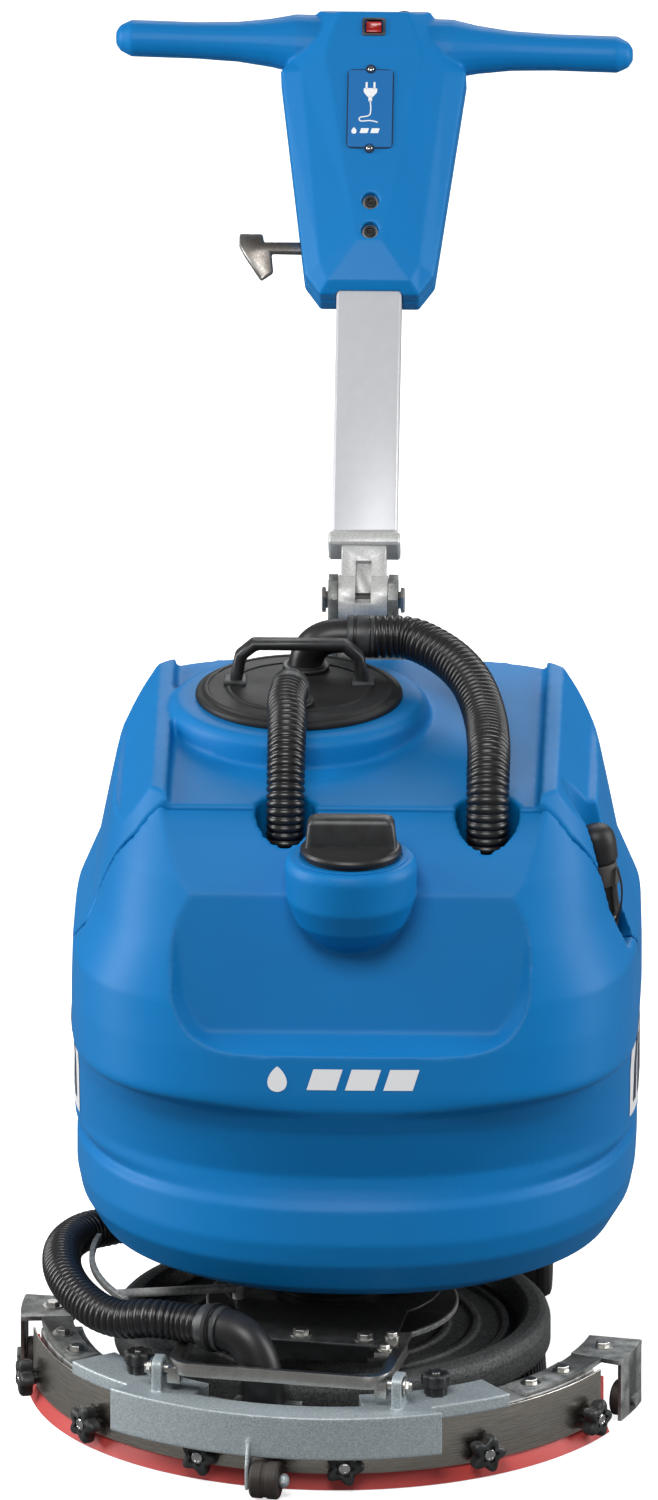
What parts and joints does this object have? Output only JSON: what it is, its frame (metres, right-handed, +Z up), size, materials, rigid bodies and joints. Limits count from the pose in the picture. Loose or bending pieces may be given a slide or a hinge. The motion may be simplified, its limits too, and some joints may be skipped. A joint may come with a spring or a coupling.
{
  "type": "walk-behind floor scrubber dryer",
  "caption": "Compact walk-behind floor scrubber dryer: moulded tanks on wheels, one disc brush, a swinging curved squeegee with red blades and a folding T-bar handle.",
  "frame": {"origin": "middle of the footprint, on the floor", "axes": "+X to the machine's right seen from the squeegee, +Y from the squeegee to the handle, +Z up"},
  "size_m": [0.5574, 1.014, 1.0621],
  "materials": {
    "blue_plastic": "moulded, fine grain, satin",
    "black_plastic": "moulded, satin",
    "rubber": "matt",
    "tyre": "matt",
    "steel": "brushed",
    "galvanised": "speckled zinc",
    "dark_steel": "dark powder coat, bright edges",
    "painted_tube": "white satin coat",
    "red_rubber": "red polyurethane",
    "red_plastic": "gloss"
  },
  "bodies": {
    "chassis": {"chassis_frame": "dark_steel", "solution_tank": "blue_plastic", "recovery_tank": "blue_plastic", "mast_bracket": "dark_steel", "mast_pin": "steel", "brush_motor": "dark_steel", "vacuum_motor": "black_plastic", "drive_plate": "dark_steel", "rear_axle": "steel", "solution_valve": "black_plastic", "drain_hose": "rubber", "suction_hose": "rubber", "vacuum_hose": "rubber", "squeegee_hose": "rubber"},
    "lid": {"tank_lid": "black_plastic", "lid_handle": "black_plastic", "front_elbow": "black_plastic", "rear_elbow": "black_plastic"},
    "float": {"float_ball": "red_plastic"},
    "filler_seal": {"filler_gasket": "rubber"},
    "filler": {"filler_cap": "black_plastic"},
    "drain_stopper": {"drain_plug": "black_plastic"},
    "brush": {"brush_hub": "black_plastic", "brush_block": "black_plastic", "bristles": "rubber"},
    "wheel_left": {"wheel_hub_left": "black_plastic", "tyre_left": "tyre"},
    "wheel_right": {"wheel_hub_right": "black_plastic", "tyre_right": "tyre"},
    "swing_arm": {"squeegee_arm": "dark_steel", "squeegee_bow": "steel", "hose_guard": "steel"},
    "squeegee": {"squeegee_plate": "dark_steel", "squeegee_band": "steel", "blade_outer": "red_rubber", "blade_inner": "red_rubber", "squeegee_weight": "galvanised", "end_bracket_left": "dark_steel", "end_bracket_right": "dark_steel", "squeegee_elbow": "black_plastic"},
    "knob_1": {"band_knob_1": "black_plastic"},
    "knob_2": {"band_knob_2": "black_plastic"},
    "knob_3": {"band_knob_3": "black_plastic"},
    "knob_4": {"band_knob_4": "black_plastic"},
    "knob_5": {"band_knob_5": "black_plastic"},
    "knob_6": {"band_knob_6": "black_plastic"},
    "thumb_left": {"thumb_knob_left": "black_plastic"},
    "thumb_right": {"thumb_knob_right": "black_plastic"},
    "nose_roller": {"front_roller": "rubber"},
    "bumper_left": {"end_roller_left": "rubber"},
    "bumper_right": {"end_roller_right": "rubber"},
    "mast": {"mast_knuckle": "steel", "mast_tube": "painted_tube", "head_front": "blue_plastic", "head_back": "blue_plastic", "cord_inlet": "black_plastic"},
    "lever": {"tilt_lever": "steel"},
    "button": {"push_button": "steel"},
    "rocker": {"rocker_switch": "red_plastic"},
    "dial": {"flow_dial": "steel"}
  },
  "joints": [
    {"name": "lid_lift", "type": "slide", "parent": "chassis", "child": "lid", "axis": [0, 0, 1], "range_m": [0, 0.06], "deforming": ["suction_hose", "vacuum_hose"]},
    {"name": "float_rise", "type": "slide", "parent": "lid", "child": "float", "axis": [0, 0, 1], "range_m": [0, 0.02]},
    {"name": "filler_lift", "type": "slide", "parent": "chassis", "child": "filler_seal", "axis": [0, 0, 1], "range_m": [0, 0.06]},
    {"name": "filler_turn", "type": "hinge", "parent": "filler_seal", "child": "filler", "pos_m": [0.02258, -0.34505, 0.553], "axis": [0, 0, 1], "range_deg": [-90, 90]},
    {"name": "drain_pull", "type": "slide", "parent": "chassis", "child": "drain_stopper", "axis": [-0.1258, 0, 0.9921], "range_m": [0, 0.03]},
    {"name": "brush_spin", "type": "hinge", "parent": "chassis", "child": "brush", "pos_m": [0.00258, -0.21005, 0.045], "axis": [0, 0, 1], "continuous": true},
    {"name": "wheel_left_spin", "type": "hinge", "parent": "chassis", "child": "wheel_left", "pos_m": [-0.12742, 0.03995, 0.08], "axis": [1, 0, 0], "continuous": true},
    {"name": "wheel_right_spin", "type": "hinge", "parent": "chassis", "child": "wheel_right", "pos_m": [0.17258, 0.03995, 0.08], "axis": [1, 0, 0], "continuous": true},
    {"name": "squeegee_swing", "type": "hinge", "parent": "chassis", "child": "swing_arm", "pos_m": [0.00258, -0.21005, 0.097], "axis": [0, 0, 1], "range_deg": [-19.5, 40.5], "deforming": ["squeegee_hose"]},
    {"name": "squeegee_pitch", "type": "hinge", "parent": "swing_arm", "child": "squeegee", "pos_m": [-0.03897, -0.43423, 0.094], "axis": [0.9833, -0.1822, 0], "range_deg": [-1.5, 3], "deforming": ["squeegee_hose"]},
    {"name": "knob_1_turn", "type": "hinge", "parent": "squeegee", "child": "knob_1", "pos_m": [-0.25908, -0.2515, 0.025], "axis": [-0.9781, -0.2079, 0], "continuous": true},
    {"name": "knob_2_turn", "type": "hinge", "parent": "squeegee", "child": "knob_2", "pos_m": [-0.20475, -0.36541, 0.025], "axis": [-0.7771, -0.6293, 0], "continuous": true},
    {"name": "knob_3_turn", "type": "hinge", "parent": "squeegee", "child": "knob_3", "pos_m": [-0.10463, -0.44223, 0.025], "axis": [-0.4067, -0.9135, 0], "continuous": true},
    {"name": "knob_4_turn", "type": "hinge", "parent": "squeegee", "child": "knob_4", "pos_m": [0.01946, -0.46523, 0.025], "axis": [0.0523, -0.9986, 0], "continuous": true},
    {"name": "knob_5_turn", "type": "hinge", "parent": "squeegee", "child": "knob_5", "pos_m": [0.14046, -0.42939, 0.025], "axis": [0.5, -0.866, 0], "continuous": true},
    {"name": "knob_6_turn", "type": "hinge", "parent": "squeegee", "child": "knob_6", "pos_m": [0.23201, -0.34252, 0.025], "axis": [0.8387, -0.5446, 0], "continuous": true},
    {"name": "thumb_left_turn", "type": "hinge", "parent": "squeegee", "child": "thumb_left", "pos_m": [-0.16471, -0.37447, 0.076], "axis": [0, 0, 1], "continuous": true},
    {"name": "thumb_right_turn", "type": "hinge", "parent": "squeegee", "child": "thumb_right", "pos_m": [0.09984, -0.4235, 0.076], "axis": [0, 0, 1], "continuous": true},
    {"name": "nose_roller_spin", "type": "hinge", "parent": "squeegee", "child": "nose_roller", "pos_m": [-0.04899, -0.48831, 0.017], "axis": [0.9833, -0.1822, 0], "continuous": true},
    {"name": "bumper_left_spin", "type": "hinge", "parent": "squeegee", "child": "bumper_left", "pos_m": [-0.26343, -0.18357, 0.02], "axis": [-0.999, 0.0436, 0], "continuous": true},
    {"name": "bumper_right_spin", "type": "hinge", "parent": "squeegee", "child": "bumper_right", "pos_m": [0.26041, -0.28066, 0.02], "axis": [0.9483, -0.3173, 0], "continuous": true},
    {"name": "mast_fold", "type": "hinge", "parent": "chassis", "child": "mast", "pos_m": [0.02258, 0.07995, 0.64], "axis": [1, 0, 0], "range_deg": [-20, 45]},
    {"name": "lever_pull", "type": "hinge", "parent": "mast", "child": "lever", "pos_m": [0.00258, 0.3239, 0.88395], "axis": [0, 0.7071, -0.7071], "range_deg": [0, 12], "stiffness_Nm_per_rad": 3},
    {"name": "button_press", "type": "slide", "parent": "mast", "child": "button", "axis": [0, -0.7071, -0.7071], "range_m": [0, 0.0025], "stiffness_N_per_m": 400},
    {"name": "rocker_tip", "type": "hinge", "parent": "mast", "child": "rocker", "pos_m": [0.02258, 0.45012, 1.04835], "axis": [1, 0, 0], "range_deg": [-6, 6]},
    {"name": "dial_turn", "type": "hinge", "parent": "mast", "child": "dial", "pos_m": [0.04858, 0.49523, 1.0369], "axis": [0, 0.7071, 0.7071], "range_deg": [-135, 135]}
  ]
}
